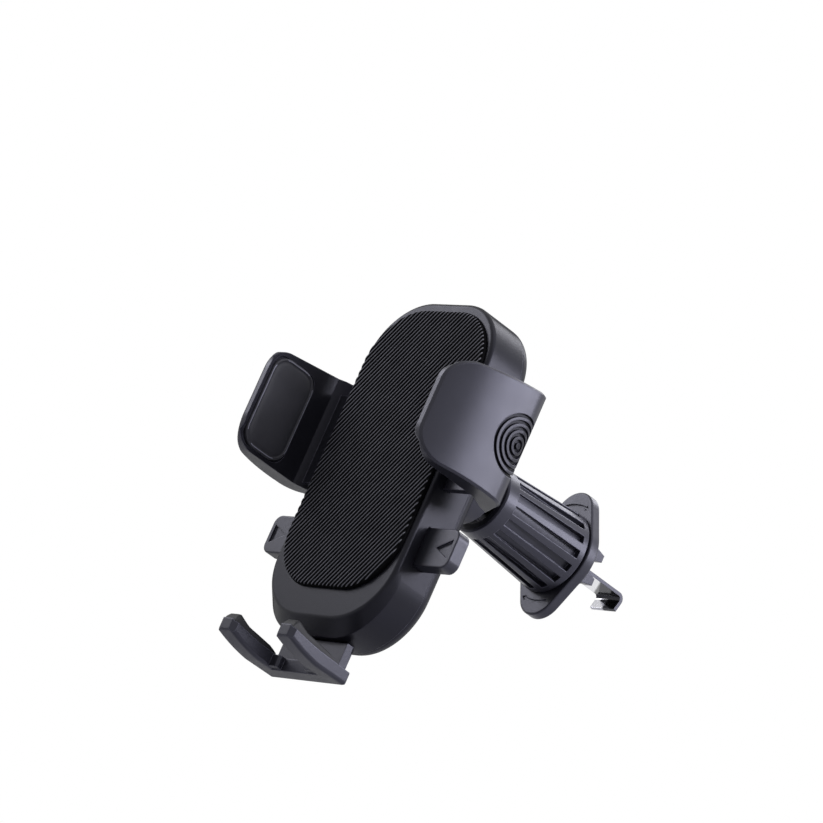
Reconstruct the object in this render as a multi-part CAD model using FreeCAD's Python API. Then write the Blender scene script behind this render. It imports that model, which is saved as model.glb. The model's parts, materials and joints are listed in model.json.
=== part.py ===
# Spring-grip device holder on a ball joint, with a hook that clamps one blade of an air vent.
# Millimetres, +Z up. +Y points into the vent and the grip opens towards -Y.
# Origin: on the knob's axis, at the seat face of the clip block, where the four teeth stand.
import FreeCAD
import Part
import math
import os

V = FreeCAD.Vector

# Clearances
run_gap = 0.1
fit_gap = 0.02

# Grip space, the slab-shaped room between the arms, the pad and the foot
grip_width = 71.5
grip_depth = 7.85

# Clip block, teeth and the plate with two ears
block_width = 16.0
block_height = 12.0
block_depth = 2.9
block_corner = 2.0
tooth_width = 2.6
tooth_length = 3.3
tooth_root_low = 1.6
tooth_root_high = 5.3
tooth_tip_low = 2.5
tooth_tip_high = 4.5
plate_thick = 3.3
plate_radius = 12.7
ear_radius = 7.0
ear_offset = 11.7
plate_edge_round = 0.5
mark_depth = 0.35
mark_width = 0.6
mark_half_angle = 17.0
mark_head = 1.5

# Core tube, knob and what runs inside it
core_bore = 5.2
core_wall = 1.3
knob_gap = 0.3
knob_length = 31.2
knob_front_radius = 10.2
knob_back_radius = 12.3
knob_collar = 4.0
knob_rim_chamfer = 0.5
knob_slots = 17
knob_slot_width = 2.3
knob_slot_front_depth = 0.6
knob_slot_back_depth = 1.7
knob_slot_margin = 2.2
bearing_length = 3.4
lug_radius = 8.2
lug_width = 3.0
lug_length = 4.0
thread_clearance = 0.2
bush_length = 5.0
ring_thick = 0.9
ring_groove = 0.4
ring_width = 1.8
ring_opening = 3.0
washer_thick = 0.9
washer_radius = 9.5
carrier_length = 8.0
carrier_tail = 2.5
hook_out = 3.0
hook_in = 8.0

# Hook strip
hook_half_width = 4.8
hook_thick = 1.0
hook_reach = 18.2
hook_drop = 5.3
hook_bend = 2.0
hook_lean = 15.0
hook_tang_half_width = 3.2
hook_tang_length = 6.0

# Ball joint
ball_radius = 8.5
ball_gap = 8.5
neck_radius = 3.2
plug_length = 3.8
dish_radius = 11.5
dish_clearance = 0.3
liner_radius = 9.4
liner_opening = 48.5
liner_slit = 1.2
cup_radius = 9.95
cup_wall = 1.6
cup_length = 7.7
cup_fit = 0.05
collar_front_radius = 11.75
collar_back_radius = 9.6
collar_back = 5.5
collar_flange_radius = 13.0
collar_flange = 1.0
cap_thick = 2.1
cap_boss_radius = 3.2
cap_boss_length = 1.9
washer_dish = 0.6
washer_sheet = 0.4
washer_hole = 4.0
washer_margin = 0.5

# Cradle shell
ball_to_cover = 11.5
cradle_depth = 15.8
cradle_half_width = 24.7
cradle_top_z = 39.5
cradle_height = 98.0
cradle_corner = 17.9
rim_round = 1.2
back_round = 3.4
rear_cover_depth = 3.6
side_wall = 1.7
front_wall = 1.7
rear_wall = 1.8
chin_rise = 4.5
chin_depth = 3.0
chin_wall = 3.3
tongue_length = 1.2
tongue_wall = 1.0
rib_thick = 1.5
rib_root = 0.5
guide_inner_x = 16.0
lock_guide_height = 5.0

# Soft pad on the cradle's face
pad_half_width = 23.3
pad_top_margin = 2.9
pad_bottom_margin = 12.5
pad_corner = 16.5
pad_recess = 1.0
pad_proud = 1.35
pad_edge_round = 0.5

# Screws that join the covers
screw_upper_x = 14.0
screw_upper_drop = 11.9
screw_lower_x = 16.0
screw_lower_rise = 13.1
screw_post_radius = 3.0
screw_shank_radius = 1.0
screw_shank_length = 8.0
screw_head_radius = 2.3
screw_head_thick = 1.4
screw_head_sink = 0.2
screw_recess_width = 0.6
screw_recess_reach = 1.4
screw_recess_depth = 0.7

# Arms
arm_open_travel = 11.0
arm_close_travel = 6.5
arm_crown = 7.45
arm_crown_station = 10.2
arm_lip_front = 11.5
arm_lip_reach = 2.25
arm_lip_wall = 2.16
arm_lip_depth = 1.3
arm_lip_chamfer = (0.4, 0.5)
arm_corner_radius = 6.7
arm_corner_start = 13.4
arm_leg_reach = 4.35
arm_leg_tip_back = 22.6
arm_leg_tip_front = 19.3
arm_leg_tip_slant = 1.1
arm_leg_root = 13.1
arm_low_z = -14.6
arm_front_top_z = 14.1
arm_back_top_z = 17.4
arm_shoulder = 15.0
arm_front_corner = 8.0
arm_edge_chamfer = 0.6
arm_pad_proud = 0.8
arm_pad_recess = 0.5
arm_pad_front = 9.0
arm_pad_back = 6.8
arm_pad_half_height = 13.4
arm_pad_corner = 3.6
ripple_rings = 5
ripple_pitch = 1.7
ripple_depth = 0.6
ripple_z = 1.2
ripple_turn = 10.0
ripple_groove_share = 0.5

# Slide bars, racks and pinion
bar_thick = 2.1
bar_gap = 0.3
bar_front_gap = 0.9
bar_half_height = 13.3
bar_slack = 0.12
fork_tip_margin = 1.86
fork_tongue = 5.0
fork_root_margin = 0.8
rack_overlap = 0.5
gear_module = 1.0
gear_teeth = 12
gear_pressure_angle = 25.0
gear_addendum = 0.9
gear_dedendum = 1.2
gear_backlash = 0.2
gear_side_gap = 0.1
pin_radius = 1.5
hub_radius = 2.6
pinion_pin_seat = 0.8
guide_boss_radius = 3.0
ratchet_pitch = 1.6
ratchet_depth = 0.9
ratchet_tooth = 0.8
ratchet_cut = 0.2
pawl_root = 0.3

# Spiral spring on the pinion's hub
spiral_sheet = 0.5
spiral_width = 2.4
spiral_inner = 2.85
spiral_outer = 12.6
spiral_turns = 4.0
spiral_post_radius = 1.2

# Release buttons and lock plate
button_reach = 37.6
button_low_z = -35.4
button_high_z = -24.2
button_front_gap = 1.6
button_depth = 4.0
button_corner = 2.6
button_travel = 2.5
button_flange = 1.8
button_flange_rise = 1.5
button_tongue_half_height = 1.3
button_tongue_inner_x = 9.4
button_pin_x = 11.0
button_pin_radius = 1.1
button_edge_round = 0.4
triangle_depth = 0.6
triangle_half_height = 2.7
triangle_inset = 1.4
triangle_reach = 5.5
cam_slot_radius = 1.25
lock_drop = 2.0
lock_plate_gap = 1.6
lock_plate_thick = 2.2
lock_half_width = 12.6
lock_neck_half_width = 5.0
lock_shoulder_z = -20.0
lock_low_z = -50.0
lock_window_half_width = 2.4
lock_window_low = 3.5
lock_window_height = 10.5
lock_peg_height = 1.5
lock_peg_half_width = 1.6
pawl_clearance = 0.2
coil_radius = 1.4
coil_wire = 0.3
coil_turns = 5.0

# Foot
stem_half_width = 8.2
stem_thick = 2.2
stem_gap = 0.3
stem_top_z = -29.0
stem_rail_drop = 2.0
foot_travel = 20.0
foot_drop = 4.65
prong_inner_x = 8.6
prong_outer_x = 15.2
prong_tip = 6.5
prong_tip_chamfer = 1.4
prong_tip_top = 0.5
prong_tip_height = 3.5
prong_tip_step = 0.5
prong_slope_mid = (0.0, 2.0)
prong_slope_end = (6.0, 2.5)
prong_back_drop = 2.9
prong_under_mid = (-1.4, 5.3)
prong_under_end = (6.0, 6.5)
prong_edge_round = 1.1
prong_end_chamfer = 0.9
foot_back = 17.1
web_front = 11.3
web_overlap = 1.4
shoulder_half_width = 12.6
shoulder_front = 13.9
shoulder_thick = 2.2
shoulder_gap = 0.4
bridge_low_drop = 5.4
bridge_high_drop = 2.4
tab_reach = 3.0
tab_depth = 2.0
tab_corner = 0.8
tab_drop = 2.9
tab_low_drop = 6.2
foot_pad_inset = 0.8
foot_pad_tip_rise = 1.6
foot_pad_tip_back = 1.8
foot_pad_ramp = (-3.2, -1.0)
foot_pad_seat = (-0.4, 0.0)
foot_pad_heel = (8.0, 0.9)
foot_pad_end = (10.8, 1.9)
stop_slot_half_width = 1.7
stop_peg_half_width = 1.5
stop_peg_low_z = -54.6
stop_peg_height = 1.5
stop_slack = 0.2
notch_pitch = 10.0
notch_z = -45.0
notch_depth = 0.4
leaf_centre_x = 6.0
leaf_half_width = 2.0
leaf_half_length = 5.8
leaf_sheet = 0.3
leaf_rise = 1.4
leaf_flat = 0.8
notch_half = 1.0
notch_waist = 2 / 3
notch_margin = 0.5

# Stations along Y, from the vent to the face of the grip
plate_back_y = -block_depth
plate_front_y = plate_back_y - plate_thick
knob_back_y = plate_front_y - knob_gap
knob_front_y = knob_back_y - knob_length
ball_y = knob_front_y - ball_gap
cover_back_y = ball_y - ball_to_cover
rim_y = cover_back_y - cradle_depth
seam_y = cover_back_y - rear_cover_depth
pad_face_y = rim_y - pad_proud
pad_back_y = rim_y + pad_recess
cavity_front_y = pad_back_y + front_wall
cavity_back_y = cover_back_y - rear_wall
grip_y = pad_face_y - grip_depth
core_front_y = ball_y + dish_radius + dish_clearance
washer_front_y = plate_front_y - washer_thick
bush_back_y = washer_front_y - run_gap
bush_front_y = bush_back_y - bush_length
ring_back_y = bush_front_y - run_gap
ring_front_y = ring_back_y - ring_thick
lug_back_y = ring_front_y - stop_slack - run_gap - hook_out
lug_front_y = lug_back_y - lug_length
carrier_back_y = lug_back_y + carrier_tail
carrier_front_y = carrier_back_y - carrier_length
front_bar_y = cavity_front_y + bar_front_gap
back_bar_y = front_bar_y + bar_thick + bar_gap
bars_end_y = back_bar_y + bar_thick
button_front_y = cavity_front_y + button_front_gap
button_back_y = button_front_y + button_depth
lock_front_y = cavity_front_y + lock_plate_gap
lock_back_y = lock_front_y + lock_plate_thick
stem_front_y = button_back_y + stem_gap
stem_back_y = stem_front_y + stem_thick

# Other derived places
core_radius = core_bore + core_wall
chamber_radius = lug_radius + thread_clearance
chamber_front_y = core_front_y + bearing_length
cradle_bottom_z = cradle_top_z - cradle_height
inner_half_width = cradle_half_width - side_wall
inner_top_z = cradle_top_z - side_wall
inner_bottom_z = cradle_bottom_z + chin_wall
inner_corner = cradle_corner - side_wall
collar_hole_radius = collar_front_radius + run_gap
grip_half_width = grip_width / 2
grip_bottom_z = cradle_bottom_z - foot_drop
arm_inner_x = grip_half_width + arm_pad_proud
arm_outer_x = arm_inner_x + arm_crown
arm_lip_inner_x = arm_inner_x - arm_lip_reach
arm_lip_outer_x = arm_lip_inner_x + arm_lip_wall
arm_leg_tip_x = arm_inner_x - arm_leg_reach
arm_surface_sag = arm_outer_x - arm_lip_outer_x
arm_surface_chord = arm_lip_front + arm_crown_station
arm_surface_radius = (arm_surface_chord ** 2 + arm_surface_sag ** 2) / (2 * arm_surface_sag)
arm_centre_x = arm_outer_x - arm_surface_radius
gear_pitch_radius = gear_module * gear_teeth / 2
gear_tip_radius = gear_pitch_radius + gear_addendum
rack_pitch = math.pi * gear_module
rack_root_z = gear_pitch_radius + gear_dedendum
rack_first = -round(arm_open_travel / rack_pitch + 0.5)
rack_last = round(arm_close_travel / rack_pitch + 0.5)
fork_tip_x = -(abs(rack_first) + 0.5) * rack_pitch - fork_tip_margin
fork_root_x = gear_tip_radius + arm_close_travel + fork_root_margin
button_mid_z = (button_low_z + button_high_z) / 2
screws = (
    (screw_upper_x, cradle_top_z - screw_upper_drop),
    (-screw_upper_x, cradle_top_z - screw_upper_drop),
    (screw_lower_x, cradle_bottom_z + screw_lower_rise),
    (-screw_lower_x, cradle_bottom_z + screw_lower_rise),
)
spiral_post_x = spiral_outer + spiral_sheet + run_gap + spiral_post_radius


# Helpers
def box(x0, x1, y0, y1, z0, z1):
    return Part.makeBox(x1 - x0, y1 - y0, z1 - z0, V(x0, y0, z0))


def rod(radius, y0, y1, x=0.0, z=0.0):
    """Round bar along Y."""
    return Part.makeCylinder(radius, y1 - y0, V(x, y0, z), V(0, 1, 0))


def ring(inner, outer, y0, y1, x=0.0, z=0.0):
    return rod(outer, y0, y1, x, z).cut(rod(inner, y0 - 1, y1 + 1, x, z))


def ball(radius):
    return Part.makeSphere(radius, V(0, ball_y, 0))


def at_y(y):
    """Places the pair (x, z) in the plane y."""
    return lambda a, b: V(a, y, b)


def at_x(x):
    """Places the pair (y, z) in the plane x."""
    return lambda a, b: V(x, a, b)


def at_z(z):
    """Places the pair (x, y) in the plane z."""
    return lambda a, b: V(a, b, z)


def outline(place, *steps):
    """Closed wire. A pair is a line's end, and a pair of pairs is an arc's middle and end."""
    edges = []
    here = place(*steps[0])
    first = here
    for step in steps[1:]:
        if isinstance(step[0], tuple):
            middle = place(*step[0])
            end = place(*step[1])
            edges.append(Part.Arc(here, middle, end).toShape())
        else:
            end = place(*step)
            edges.append(Part.makeLine(here, end))
        here = end
    if here.distanceToPoint(first) > 1e-6:
        edges.append(Part.makeLine(here, first))
    return Part.Wire(edges)


def rounded_outline(place, corners, radius):
    """Closed wire through the corners, each rounded to the radius, or to its own third value."""
    edges = []
    entries = []
    exits = []
    for index, corner in enumerate(corners):
        here = V(corner[0], corner[1], 0)
        before = V(corners[index - 1][0], corners[index - 1][1], 0) - here
        after_corner = corners[(index + 1) % len(corners)]
        after = V(after_corner[0], after_corner[1], 0) - here
        before.normalize()
        after.normalize()
        r = corner[2] if len(corner) > 2 else radius
        half = before.getAngle(after) / 2
        reach = r / math.tan(half)
        inward = (before + after).normalize()
        middle = here + inward * (r / math.sin(half) - r)
        entries.append(here + before * reach)
        exits.append(here + after * reach)
        if r > 0:
            points = [place(*point[:2]) for point in (entries[-1], middle, exits[-1])]
            edges.append(Part.Arc(*points).toShape())
    for index in range(len(corners)):
        start = exits[index]
        end = entries[(index + 1) % len(corners)]
        if start.distanceToPoint(end) > 1e-6:
            edges.append(Part.makeLine(place(*start[:2]), place(*end[:2])))
    return Part.Wire(Part.sortEdges(edges)[0])


def rectangle(x0, x1, z0, z1):
    return [(x0, z0), (x1, z0), (x1, z1), (x0, z1)]


def fill_y(wire, length):
    return Part.Face(wire).extrude(V(0, length, 0))


def slab(corners, radius, y0, y1):
    """Plate between two planes y, its corners in (x, z) rounded."""
    return fill_y(rounded_outline(at_y(y0), corners, radius), y1 - y0)


def side_slab(wire_steps, x0, x1):
    """Plate between two planes x from an outline in (y, z)."""
    return Part.Face(outline(at_x(x0), *wire_steps)).extrude(V(x1 - x0, 0, 0))


def turned(points):
    """Solid turned about the Y axis from (radius, y) pairs."""
    wire = outline(lambda r, y: V(r, y, 0), *points)
    return Part.Face(wire).revolve(V(0, 0, 0), V(0, 1, 0), 360)


def mirrored(shape):
    return shape.mirror(V(0, 0, 0), V(1, 0, 0))


def edges_in_plane_y(shape, y):
    found = []
    for edge in shape.Edges:
        bounds = edge.BoundBox
        if abs(bounds.YMin - y) < 1e-4 and abs(bounds.YMax - y) < 1e-4:
            found.append(edge)
    return found


def joined(first, *others):
    return first.multiFuse(list(others)).removeSplitter()


def grip(v):
    """Station of a point that lies v behind the front plane of the grip space."""
    return grip_y + v


# Vent clip
def plate_outline(y):
    turn = math.asin((plate_radius - ear_radius) / ear_offset)
    c = math.cos(turn)
    s = math.sin(turn)
    ear_x = ear_radius * c
    ear_z = ear_offset + ear_radius * s
    big_x = plate_radius * c
    big_z = plate_radius * s
    return outline(
        at_y(y),
        (big_x, -big_z),
        ((plate_radius, 0), (big_x, big_z)),
        (ear_x, ear_z),
        ((0, ear_offset + ear_radius), (-ear_x, ear_z)),
        (-big_x, big_z),
        ((-plate_radius, 0), (-big_x, -big_z)),
        (-ear_x, -ear_z),
        ((0, -ear_offset - ear_radius), (ear_x, -ear_z)),
    )


def turn_mark(side):
    """Arc arrow cut into an ear's front face; side is 1 for the upper ear, -1 for the lower one."""
    middle = ear_offset + ear_radius * 0.42
    angle = math.radians(mark_half_angle)
    y0 = plate_front_y - 1
    y1 = plate_front_y + mark_depth

    def at(radius, turn):
        return (radius * math.sin(turn), side * radius * math.cos(turn))

    inner = middle - mark_width / 2
    outer = middle + mark_width / 2
    arc = outline(
        at_y(y0),
        at(inner, -angle),
        (at(inner, 0), at(inner, angle)),
        at(outer, angle),
        (at(outer, 0), at(outer, -angle)),
    )
    point_turn = side * (angle + mark_head / middle)
    base_turn = side * angle
    head = outline(
        at_y(y0),
        at(middle, point_turn),
        at(middle + mark_head / 2, base_turn),
        at(middle - mark_head / 2, base_turn),
    )
    return fill_y(arc, y1 - y0).fuse(fill_y(head, y1 - y0))


def base_plate():
    plate = fill_y(plate_outline(plate_front_y), plate_thick)
    rims = edges_in_plane_y(plate, plate_front_y) + edges_in_plane_y(plate, plate_back_y)
    plate = plate.makeFillet(plate_edge_round, rims)
    block_corners = rectangle(-block_width / 2, block_width / 2, -block_height / 2, block_height / 2)
    block = slab(block_corners, block_corner, plate_back_y, 0)
    tube = rod(core_radius, core_front_y, plate_front_y)
    teeth = []
    for side in (1, -1):
        steps = (
            (-block_depth / 2, side * tooth_root_low),
            (0, side * tooth_root_low),
            (tooth_length, side * tooth_tip_low),
            (tooth_length, side * tooth_tip_high),
            (0, side * tooth_root_high),
            (-block_depth / 2, side * tooth_root_high),
        )
        outer_x = block_width / 2 - 0.01
        teeth.append(side_slab(steps, outer_x - tooth_width, outer_x))
        teeth.append(side_slab(steps, -outer_x, tooth_width - outer_x))
    body = joined(plate, block, tube, *teeth)
    bore = rod(core_bore, core_front_y - 1, plate_front_y)
    half = hook_half_width + run_gap
    strip_way = box(-half, half, plate_front_y - 1, 1, -hook_thick - run_gap, run_gap)
    lug_front = lug_front_y - hook_in - run_gap
    lug_back = lug_back_y + hook_out + run_gap
    lug_way_half = lug_width / 2 + run_gap
    lug_way = box(-core_radius - 1, core_radius + 1, lug_front, lug_back, -lug_way_half, lug_way_half)
    groove = ring(core_radius - ring_groove, core_radius + 1, ring_front_y, ring_back_y)
    cuts = [bore, strip_way, lug_way, groove, turn_mark(1), turn_mark(-1)]
    return body.cut(cuts)


def hook():
    lean = math.radians(hook_lean)
    centre = (hook_reach - hook_bend, -hook_bend)

    def on_bend(radius, angle):
        return (centre[0] + radius * math.cos(angle), centre[1] + radius * math.sin(angle))

    inner_bend = hook_bend - hook_thick
    half_turn = (math.pi / 2 - lean) / 2
    outer_end = on_bend(hook_bend, -lean)
    inner_end = on_bend(inner_bend, -lean)
    lip = (hook_drop + outer_end[1]) / math.cos(lean)
    outer_tip = (outer_end[0] - lip * math.sin(lean), -hook_drop)
    inner_tip = (inner_end[0] - lip * math.sin(lean), inner_end[1] - lip * math.cos(lean))
    steps = (
        (carrier_back_y, 0),
        (centre[0], 0),
        (on_bend(hook_bend, half_turn), outer_end),
        outer_tip,
        inner_tip,
        inner_end,
        (on_bend(inner_bend, half_turn), (centre[0], -hook_thick)),
        (carrier_back_y, -hook_thick),
    )
    strip = side_slab(steps, -hook_half_width, hook_half_width)
    half = hook_tang_half_width
    tang = box(-half, half, carrier_back_y - hook_tang_length, carrier_back_y, -hook_thick, 0)
    return joined(strip, tang)


def hook_carrier():
    body = rod(core_bore - run_gap, carrier_front_y, carrier_back_y)
    half = lug_width / 2
    bar = box(-lug_radius - 1, lug_radius + 1, lug_front_y, lug_back_y, -half, half)
    lugs = bar.common(rod(lug_radius, lug_front_y, lug_back_y))
    tang = hook_tang_half_width
    socket = box(-tang, tang, carrier_back_y - hook_tang_length, carrier_back_y + 1, -hook_thick, 0)
    return joined(body, lugs).cut(socket)


def knob():
    c = knob_rim_chamfer
    body = turned((
        (core_radius + run_gap, knob_front_y),
        (knob_front_radius - c, knob_front_y),
        (knob_front_radius, knob_front_y + c),
        (knob_back_radius, knob_back_y - c),
        (knob_back_radius - c, knob_back_y),
        (washer_radius + 0.2, knob_back_y),
        (washer_radius + 0.2, bush_back_y),
        (chamber_radius, bush_back_y),
        (chamber_radius, chamber_front_y),
        (core_radius + run_gap, chamber_front_y),
    ))
    body = body.cut(ball(dish_radius))
    slot_front_y = knob_front_y + knob_collar
    slot_back_y = knob_back_y - knob_slot_margin
    taper = (knob_back_radius - knob_front_radius) / knob_length
    front_radius = knob_front_radius + taper * knob_collar
    back_radius = knob_back_radius - taper * knob_slot_margin
    sleeve = turned((
        (front_radius - knob_slot_front_depth, slot_front_y),
        (front_radius + 1, slot_front_y),
        (back_radius + 1, slot_back_y),
        (back_radius - knob_slot_back_depth, slot_back_y),
    ))
    half = knob_slot_width / 2
    bar = box(-half, half, slot_front_y, slot_back_y, chamber_radius, knob_back_radius + 2)
    slots = []
    for index in range(knob_slots):
        turned_bar = bar.copy()
        turned_bar.rotate(V(0, 0, 0), V(0, 1, 0), (index + 0.5) * 360 / knob_slots)
        slots.append(sleeve.common(turned_bar))
    return body.cut(slots)


def knob_bush():
    return ring(core_radius + run_gap, chamber_radius - fit_gap, bush_front_y, bush_back_y)


def thrust_washer():
    return ring(core_radius + fit_gap, washer_radius, washer_front_y, plate_front_y)


def retaining_ring():
    inner = core_radius - ring_groove + fit_gap
    y0 = ring_front_y + fit_gap
    y1 = ring_back_y - fit_gap
    whole = ring(inner, inner + ring_width, y0, y1)
    half = ring_opening / 2
    return whole.cut(box(-half, half, y0 - 1, y1 + 1, 0, core_radius + ring_width))


# Ball joint
def ball_stud():
    neck = rod(neck_radius, ball_y, core_front_y)
    plug = rod(core_bore - fit_gap, core_front_y, core_front_y + plug_length)
    return joined(ball(ball_radius), neck, plug)


def ball_liner():
    shell = ball(liner_radius).cut(ball(ball_radius + run_gap))
    height = liner_radius + 1
    mouth_radius = height * math.tan(math.radians(liner_opening))
    mouth = Part.makeCone(0, mouth_radius, height, V(0, ball_y, 0), V(0, 1, 0))
    half = liner_slit / 2
    end = ball_y + height
    slits = [
        box(-half, half, ball_y, end, -height, height),
        box(-height, height, ball_y, end, -half, half),
    ]
    return shell.cut([mouth] + slits)


def seat_cup():
    front = ball_y - liner_radius - run_gap - cup_wall
    return rod(cup_radius, front, front + cup_length).cut(ball(liner_radius + run_gap))


def socket_collar():
    front = cavity_back_y - collar_flange
    cup_end = ball_y - liner_radius - run_gap - cup_wall + cup_length + run_gap
    body = turned((
        (cup_radius + 0.05, front),
        (collar_flange_radius, front),
        (collar_flange_radius, cavity_back_y),
        (collar_front_radius, cavity_back_y),
        (collar_front_radius, cover_back_y + 1.0),
        (collar_back_radius, ball_y + collar_back),
        (0, ball_y + collar_back),
        (0, cup_end),
        (cup_radius + cup_fit, cup_end),
    ))
    seat = liner_radius + run_gap
    return body.cut([rod(seat, cup_end - 1, ball_y), ball(seat)])


def socket_cap():
    front = cavity_back_y - collar_flange
    disc = rod(cup_radius + cup_fit - fit_gap, front, front + cap_thick)
    boss = rod(cap_boss_radius, front - cap_boss_length, front)
    bore = rod(pin_radius + fit_gap, front - cap_boss_length - 1, front)
    return joined(disc, boss).cut(bore)


def spring_washer():
    front = cavity_back_y - collar_flange + cap_thick
    outer = cup_radius - washer_margin
    return turned((
        (washer_hole, front + washer_dish),
        (outer, front),
        (outer, front + washer_sheet),
        (washer_hole, front + washer_dish + washer_sheet - run_gap),
    ))


# Cradle
def cradle_corners(bottom_z=None):
    low = cradle_bottom_z if bottom_z is None else bottom_z
    return rectangle(-cradle_half_width, cradle_half_width, low, cradle_top_z)


def cradle_inside(y0, y1, inset=0.0):
    corners = rectangle(
        inset - inner_half_width, inner_half_width - inset, inner_bottom_z + inset, inner_top_z - inset
    )
    return slab(corners, inner_corner - inset, y0, y1)


def pad_corners():
    return rectangle(
        -pad_half_width, pad_half_width, cradle_bottom_z + pad_bottom_margin, cradle_top_z - pad_top_margin
    )


def bar_guides():
    """Ribs that guide the slide bars: thin pads in front of them and rails above and below."""
    ribs = []
    rail = bar_half_height + run_gap
    root_y = cavity_front_y - rib_root
    for side in (1, -1):
        for level in (1, -1):
            x0, x1 = sorted((side * guide_inner_x, side * (inner_half_width - run_gap)))
            z0, z1 = sorted((level * rail, level * (rail + rib_thick)))
            ribs.append(box(x0, x1, root_y, bars_end_y, z0, z1))
            p0, p1 = sorted((level * (rail - rib_thick), level * rail))
            ribs.append(box(x0, x1, root_y, front_bar_y - run_gap, p0, p1))
    return ribs


def front_cover():
    rim = rounded_outline(at_y(rim_y), cradle_corners(cradle_bottom_z + chin_rise), cradle_corner)
    chin = rounded_outline(at_y(rim_y + chin_depth), cradle_corners(), cradle_corner)
    nose = Part.makeLoft([rim, chin], True, True)
    body = slab(cradle_corners(), cradle_corner, rim_y + chin_depth, seam_y)
    shell = joined(nose, body)
    shell = shell.makeFillet(rim_round, edges_in_plane_y(shell, rim_y))
    shell = shell.cut([
        cradle_inside(cavity_front_y, seam_y + 1),
        slab(pad_corners(), pad_corner, rim_y - 1, pad_back_y),
    ])
    posts = []
    pilots = []
    root_y = cavity_front_y - rib_root
    for x, z in screws:
        posts.append(rod(screw_post_radius, root_y, seam_y, x, z))
        pilots.append(rod(screw_shank_radius + fit_gap, seam_y - screw_shank_length, seam_y + 1, x, z))
    boss = rod(guide_boss_radius, root_y, front_bar_y)
    pilots.append(rod(pin_radius + fit_gap, cavity_front_y - pinion_pin_seat, front_bar_y + 1))
    peg_low = lock_low_z + lock_window_low + stop_slack
    half = lock_peg_half_width
    peg = box(-half, half, root_y, lock_back_y, peg_low, peg_low + lock_peg_height)
    lock_guides = []
    guide_low = screws[2][1] + screw_post_radius + 1
    for side in (1, -1):
        x0, x1 = sorted((side * (lock_half_width + run_gap), side * (lock_half_width + rib_thick)))
        lock_guides.append(box(x0, x1, root_y, lock_back_y, guide_low, guide_low + lock_guide_height))
    shell = joined(shell, boss, peg, *posts, *lock_guides, *bar_guides())
    wide = cradle_half_width + 1
    way_x = guide_inner_x - rib_root
    bar_half = bar_half_height + bar_slack
    button_room = (button_low_z - run_gap, button_high_z + run_gap)
    ways = [
        box(way_x, wide, front_bar_y - bar_slack, front_bar_y + bar_thick + bar_slack, -bar_half, bar_half),
        box(-wide, -way_x, back_bar_y - bar_slack, bars_end_y + bar_slack, -bar_half, bar_half),
        box(inner_half_width - 0.5, wide, button_front_y - run_gap, button_back_y + run_gap, *button_room),
        box(-wide, 0.5 - inner_half_width, button_front_y - run_gap, button_back_y + run_gap, *button_room),
        box(
            -stem_half_width - run_gap, stem_half_width + run_gap,
            stem_front_y - run_gap, stem_back_y + run_gap,
            cradle_bottom_z - 1, inner_bottom_z + 1,
        ),
    ]
    return shell.cut(ways + pilots)


def front_pad():
    pad = slab(pad_corners(), pad_corner, pad_face_y, pad_back_y)
    return pad.makeFillet(pad_edge_round, edges_in_plane_y(pad, pad_face_y))


def rear_cover():
    shell = slab(cradle_corners(), cradle_corner, seam_y, cover_back_y)
    shell = shell.makeFillet(back_round, edges_in_plane_y(shell, cover_back_y))
    shell = shell.cut(cradle_inside(seam_y - 1, cavity_back_y))
    tongue = cradle_inside(seam_y - tongue_length, seam_y + 1.0, run_gap)
    tongue = tongue.cut(cradle_inside(seam_y - tongue_length - 1, seam_y + 2.0, run_gap + tongue_wall))
    bosses = [rod(screw_post_radius, seam_y, cover_back_y - 1, x, z) for x, z in screws]
    root_y = cavity_back_y + rib_root
    spiral_post = rod(spiral_post_radius, bars_end_y + 2 * run_gap, root_y, spiral_post_x)
    rails = []
    rail_low = inner_bottom_z + tongue_wall + run_gap
    for side in (1, -1):
        x0, x1 = sorted((side * (stem_half_width + run_gap), side * (stem_half_width + rib_thick)))
        rails.append(box(x0, x1, stem_front_y, root_y, rail_low, stem_top_z - stem_rail_drop))
    half = stop_peg_half_width
    peg = box(-half, half, stem_front_y, root_y, stop_peg_low_z, stop_peg_low_z + stop_peg_height)
    supports = []
    rail = bar_half_height + run_gap
    for side in (1, -1):
        for level in (1, -1):
            x0, x1 = sorted((side * guide_inner_x, side * (inner_half_width - tongue_wall - 2 * run_gap)))
            z0, z1 = sorted((level * (rail - rib_thick), level * rail))
            supports.append(box(x0, x1, bars_end_y + run_gap, root_y, z0, z1))
    shell = joined(shell, tongue, spiral_post, peg, *bosses, *rails, *supports)
    cuts = [rod(collar_hole_radius, seam_y - 2, cover_back_y + 1)]
    for x, z in screws:
        cuts.append(rod(screw_shank_radius + run_gap, seam_y - 3, cover_back_y + 1, x, z))
        head_seat = cover_back_y - screw_head_sink - screw_head_thick
        cuts.append(rod(screw_head_radius + run_gap, head_seat, cover_back_y + 1, x, z))
        cuts.append(rod(screw_post_radius + run_gap, seam_y - tongue_length - 1, seam_y, x, z))
    return shell.cut(cuts)


def cover_screw(index):
    x, z = screws[index]
    back = cover_back_y - screw_head_sink
    front = back - screw_head_thick
    head = rod(screw_head_radius, front, back, x, z)
    shank = rod(screw_shank_radius, seam_y - screw_shank_length + run_gap, front, x, z)
    half = screw_recess_width / 2
    reach = screw_recess_reach
    depth = back - screw_recess_depth
    cross = [
        box(x - half, x + half, depth, back + 1, z - reach, z + reach),
        box(x - reach, x + reach, depth, back + 1, z - half, z + half),
    ]
    return joined(head, shank).cut(cross)


# Arms
def arm_surface_x(v):
    """Half width of the arm's outer surface at the station v of the grip space."""
    return arm_centre_x + math.sqrt(arm_surface_radius ** 2 - (v - arm_crown_station) ** 2)


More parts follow.
